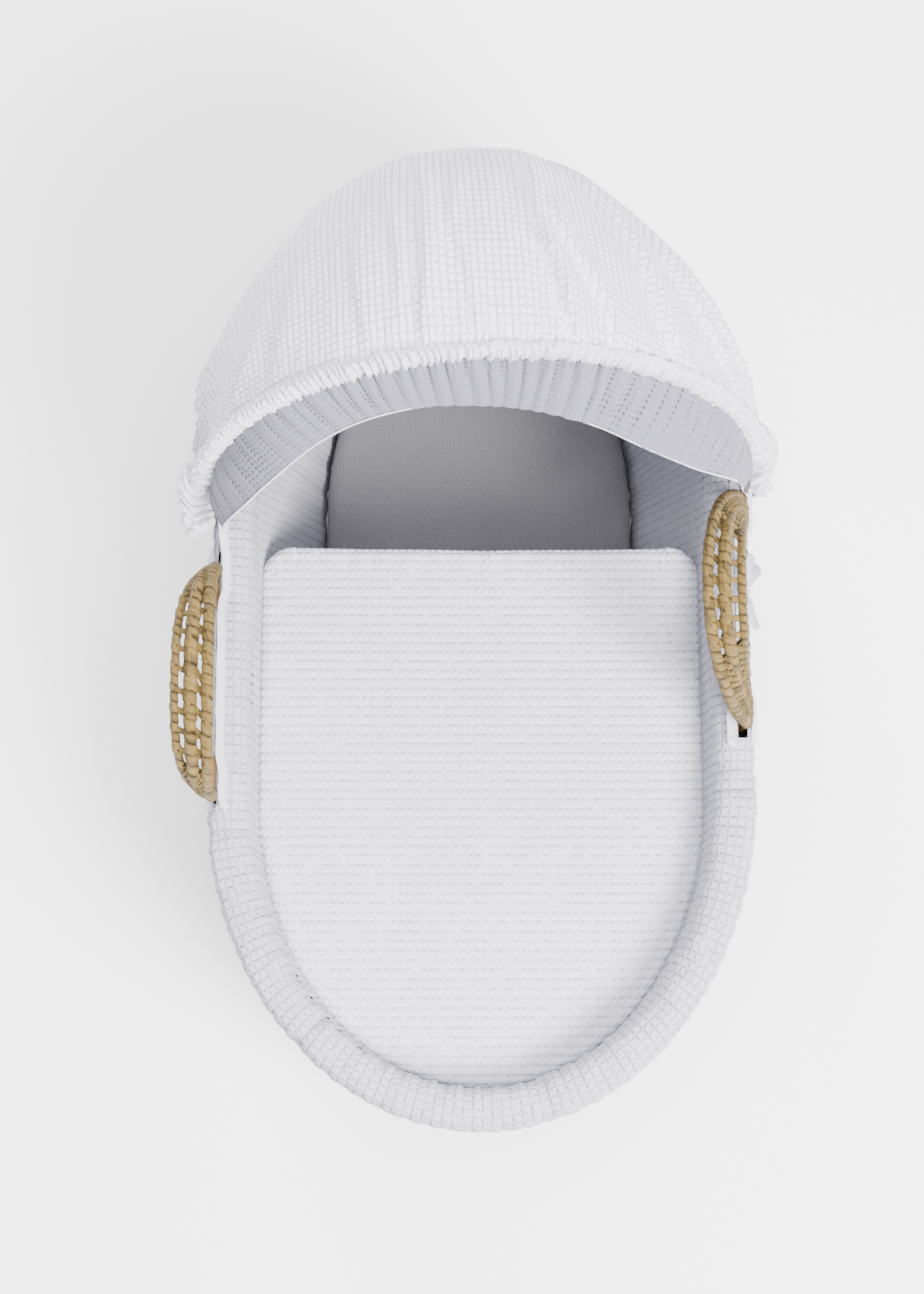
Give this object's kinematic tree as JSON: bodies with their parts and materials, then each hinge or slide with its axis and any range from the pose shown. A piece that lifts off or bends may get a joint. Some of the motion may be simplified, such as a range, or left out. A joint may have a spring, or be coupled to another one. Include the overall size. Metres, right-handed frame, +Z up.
{
  "type": "moses basket",
  "caption": "Oval palm-leaf baby basket with a padded waffle-cloth dressing, two swinging woven handles, a mattress, a coverlet and a folding fabric hood on wire bows.",
  "frame": {"origin": "centre of the basket's flat underside", "axes": "+Y towards the head end with the hood, +X to the right of a person at the foot end, +Z up"},
  "size_m": [0.5007, 0.8352, 0.5144],
  "materials": {
    "palm": "dried palm leaf, satin, plaited",
    "palm_rope": "dried palm leaf wound over rope, satin",
    "palm_leaf": "flat dried palm leaf with greenish leaves",
    "waffle": "white cotton waffle weave, matt",
    "waffle_facing": "white cotton waffle weave, gathered, matt",
    "lining": "plain white cotton, matt",
    "tape": "white cotton binding tape",
    "sheet": "grey jersey knit",
    "wadding": "polyester fibre fill",
    "elastic": "covered elastic cord",
    "steel": "plated spring steel"
  },
  "bodies": {
    "basket": {"base_panel": "palm", "palm_wall": "palm", "foot_coil": "palm_rope", "rim_coil": "palm_rope", "liner_wall": "waffle", "liner_floor": "lining", "rim_roll": "waffle", "outer_skirt": "waffle", "skirt_elastic": "elastic", "left_slot_strip": "waffle", "right_slot_strip": "waffle", "left_slot_binding": "tape", "right_slot_binding": "tape", "right_slot_tie": "tape", "left_handle_head_anchor": "palm", "left_handle_foot_anchor": "palm", "left_anchor_lashings": "palm_leaf", "right_handle_head_anchor": "palm", "right_handle_foot_anchor": "palm", "right_anchor_lashings": "palm_leaf"},
    "left_handle": {"left_handle_inner_coil": "palm_rope", "left_handle_middle_rope": "palm_rope", "left_handle_outer_coil": "palm_rope", "left_handle_head_weave": "palm_leaf", "left_handle_foot_weave": "palm_leaf", "left_handle_leaf_straps": "palm_leaf"},
    "right_handle": {"right_handle_inner_coil": "palm_rope", "right_handle_middle_rope": "palm_rope", "right_handle_outer_coil": "palm_rope", "right_handle_head_weave": "palm_leaf", "right_handle_foot_weave": "palm_leaf", "right_handle_leaf_straps": "palm_leaf"},
    "mattress": {"mattress_core": "wadding", "mattress_sheet": "sheet"},
    "coverlet": {"coverlet_cloth": "waffle", "coverlet_wadding": "wadding", "coverlet_lining": "lining"},
    "hood_base": {"hood_rear_bow": "steel", "hood_rear_hem": "waffle", "hood_cover": "waffle", "hood_left_leg": "steel", "hood_left_rivet": "steel", "hood_left_washer": "steel", "hood_left_gather": "waffle", "hood_right_leg": "steel", "hood_right_rivet": "steel", "hood_right_washer": "steel", "hood_right_gather": "waffle"},
    "hood_front": {"hood_front_bow": "steel", "hood_ruched_edge": "waffle", "hood_facing": "waffle_facing"}
  },
  "joints": [
    {"name": "left_handle_swing", "type": "hinge", "parent": "basket", "child": "left_handle", "pos_m": [-0.2235, -0.042, 0.268], "axis": [0, -1, 0], "range_deg": [-70, 107]},
    {"name": "right_handle_swing", "type": "hinge", "parent": "basket", "child": "right_handle", "pos_m": [0.2235, 0.018, 0.268], "axis": [0, 1, 0], "range_deg": [-53, 125]},
    {"name": "mattress_lift", "type": "slide", "parent": "basket", "child": "mattress", "axis": [0, 0, 1], "range_m": [0, 0.1]},
    {"name": "coverlet_lift", "type": "slide", "parent": "mattress", "child": "coverlet", "axis": [0, 0, 1], "range_m": [0, 0.13]},
    {"name": "hood_lift", "type": "slide", "parent": "basket", "child": "hood_base", "axis": [0, 0, 1], "range_m": [0, 0.045]},
    {"name": "hood_fold", "type": "hinge", "parent": "hood_base", "child": "hood_front", "pos_m": [0, 0.13, 0.272], "axis": [0.9986, 0.0523, 0], "range_deg": [-64, 10], "deforming": ["hood_cover", "hood_facing", "hood_ruched_edge"]}
  ]
}
